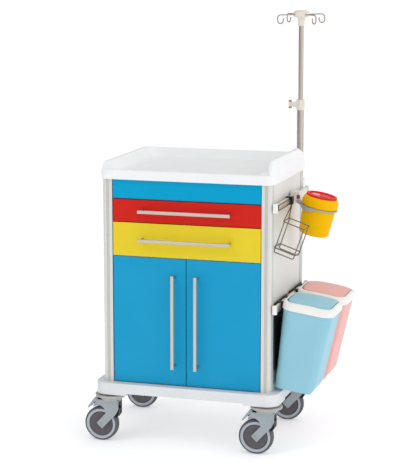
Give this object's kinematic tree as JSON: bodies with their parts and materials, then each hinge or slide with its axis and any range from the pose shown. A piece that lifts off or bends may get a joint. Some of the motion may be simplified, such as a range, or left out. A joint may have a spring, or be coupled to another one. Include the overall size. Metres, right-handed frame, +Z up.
{
  "type": "hospital treatment trolley",
  "caption": "Ward treatment trolley: dished worktop, drawers and hinged doors between corner columns, swivel casters, drip pole, side rails with waste bins, sharps tub and bottle holder.",
  "frame": {"origin": "on the floor, under the centre of the whole object's footprint", "axes": "+X to the right seen from the doors, +Y to the back, +Z up"},
  "size_m": [0.9098, 0.6019, 1.534],
  "materials": {
    "tray_abs": "smooth moulded white",
    "base_abs": "moulded off-white",
    "column_alu": "extruded, silver-grey lacquer",
    "side_steel": "powder-coated light grey",
    "zinc_sheet": "light grey sheet",
    "fascia_blue": "satin laminate",
    "front_red": "satin laminate",
    "front_yellow": "satin laminate",
    "door_blue": "satin laminate",
    "handle_steel": "brushed",
    "rail_steel": "brushed",
    "cap_white": "moulded",
    "fork_steel": "zinc plated, light blue-grey",
    "head_beige": "moulded",
    "tyre_grey": "matte",
    "rim_grey": "moulded",
    "cam_black": "moulded",
    "mast_steel": "polished stainless tube",
    "hub_ivory": "moulded",
    "wire_steel": "bright wire",
    "sharps_yellow": "moulded",
    "sharps_red": "moulded",
    "ring_grey": "moulded",
    "bin_blue": "moulded",
    "bin_pink": "moulded"
  },
  "bodies": {
    "cabinet": {"top_tray": "tray_abs", "corner_columns": "column_alu", "left_side_panel": "side_steel", "right_side_panel": "side_steel", "back_panel": "side_steel", "base_moulding": "base_abs", "chassis_frame": "zinc_sheet", "top_fascia": "fascia_blue", "carcass_dividers": "zinc_sheet", "cupboard_shelf": "zinc_sheet", "drawer_runner_rails": "zinc_sheet", "door_pivot_pins": "handle_steel", "caster_heads": "head_beige", "side_rails": "rail_steel", "rail_fittings": "cap_white", "pole_brackets": "cap_white", "pole_lower_tube": "mast_steel", "pole_collar": "hub_ivory", "bin_hooks": "cam_black", "sharps_ring": "ring_grey"},
    "upper_drawer": {"upper_drawer_front": "front_red", "upper_drawer_box": "zinc_sheet", "upper_drawer_handle": "handle_steel"},
    "lower_drawer": {"lower_drawer_front": "front_yellow", "lower_drawer_box": "zinc_sheet", "lower_drawer_handle": "handle_steel"},
    "left_door": {"left_door_panel": "door_blue", "left_door_handle": "handle_steel"},
    "right_door": {"right_door_panel": "door_blue", "right_door_handle": "handle_steel"},
    "mast": {"pole_upper_tube": "mast_steel", "pole_hook_hub": "hub_ivory", "pole_hooks": "wire_steel"},
    "mast_lock": {"pole_lock_knob": "hub_ivory"},
    "bottle_holder": {"bottle_holder_wires": "wire_steel", "bottle_holder_clip": "cam_black"},
    "sharps_container": {"sharps_tub": "sharps_yellow"},
    "sharps_lid": {"sharps_cover": "sharps_red"},
    "front_bin": {"front_bin_tub": "bin_blue", "front_bin_frame": "cap_white"},
    "front_bin_lid": {"front_bin_flap": "bin_blue"},
    "rear_bin": {"rear_bin_tub": "bin_pink", "rear_bin_frame": "cap_white"},
    "rear_bin_lid": {"rear_bin_flap": "bin_pink"},
    "front_left_swivel": {"front_left_fork": "fork_steel"},
    "front_left_wheel": {"front_left_rim": "rim_grey", "front_left_tyre": "tyre_grey"},
    "front_left_brake": {"front_left_brake_pedal": "fork_steel", "front_left_brake_cam": "cam_black"},
    "front_right_swivel": {"front_right_fork": "fork_steel"},
    "front_right_wheel": {"front_right_rim": "rim_grey", "front_right_tyre": "tyre_grey"},
    "front_right_brake": {"front_right_brake_pedal": "fork_steel", "front_right_brake_cam": "cam_black"},
    "rear_left_swivel": {"rear_left_fork": "fork_steel"},
    "rear_left_wheel": {"rear_left_rim": "rim_grey", "rear_left_tyre": "tyre_grey"},
    "rear_right_swivel": {"rear_right_fork": "fork_steel"},
    "rear_right_wheel": {"rear_right_rim": "rim_grey", "rear_right_tyre": "tyre_grey"}
  },
  "joints": [
    {"name": "upper_drawer_slide", "type": "slide", "parent": "cabinet", "child": "upper_drawer", "axis": [0, -1, 0], "range_m": [0, 0.36]},
    {"name": "lower_drawer_slide", "type": "slide", "parent": "cabinet", "child": "lower_drawer", "axis": [0, -1, 0], "range_m": [0, 0.36]},
    {"name": "left_door_hinge", "type": "hinge", "parent": "cabinet", "child": "left_door", "pos_m": [-0.33141, -0.25695, 0.457], "axis": [0, 0, -1], "range_deg": [0, 100]},
    {"name": "right_door_hinge", "type": "hinge", "parent": "cabinet", "child": "right_door", "pos_m": [0.19659, -0.25695, 0.457], "axis": [0, 0, 1], "range_deg": [0, 100]},
    {"name": "front_left_swivel_turn", "type": "hinge", "parent": "cabinet", "child": "front_left_swivel", "pos_m": [-0.35641, -0.24396, 0.148], "axis": [0, 0, 1], "continuous": true},
    {"name": "front_left_wheel_roll", "type": "hinge", "parent": "front_left_swivel", "child": "front_left_wheel", "pos_m": [-0.39241, -0.24396, 0.0625], "axis": [0, 1, 0], "continuous": true},
    {"name": "front_left_brake_press", "type": "hinge", "parent": "front_left_swivel", "child": "front_left_brake", "pos_m": [-0.40241, -0.24396, 0.149], "axis": [0, -1, 0], "range_deg": [0, 8]},
    {"name": "front_right_swivel_turn", "type": "hinge", "parent": "cabinet", "child": "front_right_swivel", "pos_m": [0.22159, -0.24396, 0.148], "axis": [0, 0, 1], "continuous": true},
    {"name": "front_right_wheel_roll", "type": "hinge", "parent": "front_right_swivel", "child": "front_right_wheel", "pos_m": [0.18559, -0.24396, 0.0625], "axis": [0, 1, 0], "continuous": true},
    {"name": "front_right_brake_press", "type": "hinge", "parent": "front_right_swivel", "child": "front_right_brake", "pos_m": [0.17559, -0.24396, 0.149], "axis": [0, -1, 0], "range_deg": [0, 8]},
    {"name": "rear_left_swivel_turn", "type": "hinge", "parent": "cabinet", "child": "rear_left_swivel", "pos_m": [-0.35641, 0.20705, 0.148], "axis": [0, 0, 1], "continuous": true},
    {"name": "rear_left_wheel_roll", "type": "hinge", "parent": "rear_left_swivel", "child": "rear_left_wheel", "pos_m": [-0.39241, 0.20705, 0.0625], "axis": [0, 1, 0], "continuous": true},
    {"name": "rear_right_swivel_turn", "type": "hinge", "parent": "cabinet", "child": "rear_right_swivel", "pos_m": [0.22159, 0.20705, 0.148], "axis": [0, 0, 1], "continuous": true},
    {"name": "rear_right_wheel_roll", "type": "hinge", "parent": "rear_right_swivel", "child": "rear_right_wheel", "pos_m": [0.18559, 0.20705, 0.0625], "axis": [0, 1, 0], "continuous": true},
    {"name": "mast_height", "type": "slide", "parent": "cabinet", "child": "mast", "axis": [0, 0, 1], "range_m": [-0.25, 0.45]},
    {"name": "mast_lock_turn", "type": "hinge", "parent": "cabinet", "child": "mast_lock", "pos_m": [0.18959, 0.22804, 1.191], "axis": [1, 0, 0], "range_deg": [0, 90]},
    {"name": "bottle_holder_slide", "type": "slide", "parent": "cabinet", "child": "bottle_holder", "axis": [0, 1, 0], "range_m": [-0.005, 0.045]},
    {"name": "sharps_lift", "type": "slide", "parent": "cabinet", "child": "sharps_container", "axis": [0.2079, 0, 0.9781], "range_m": [0, 0.15]},
    {"name": "sharps_lid_turn", "type": "hinge", "parent": "sharps_container", "child": "sharps_lid", "pos_m": [0.32459, 0.00904, 0.752], "axis": [0.2079, 0, 0.9781], "range_deg": [0, 90]},
    {"name": "front_bin_lift", "type": "slide", "parent": "cabinet", "child": "front_bin", "axis": [0.0973, 0, 0.9953], "range_m": [0, 0.05]},
    {"name": "front_bin_lid_hinge", "type": "hinge", "parent": "front_bin", "child": "front_bin_lid", "pos_m": [0.2908, -0.13995, 0.54517], "axis": [0, -1, 0], "range_deg": [0, 55]},
    {"name": "rear_bin_lift", "type": "slide", "parent": "cabinet", "child": "rear_bin", "axis": [0.0973, 0, 0.9953], "range_m": [0, 0.05]},
    {"name": "rear_bin_lid_hinge", "type": "hinge", "parent": "rear_bin", "child": "rear_bin_lid", "pos_m": [0.2908, 0.07805, 0.54517], "axis": [0, -1, 0], "range_deg": [0, 55]}
  ]
}
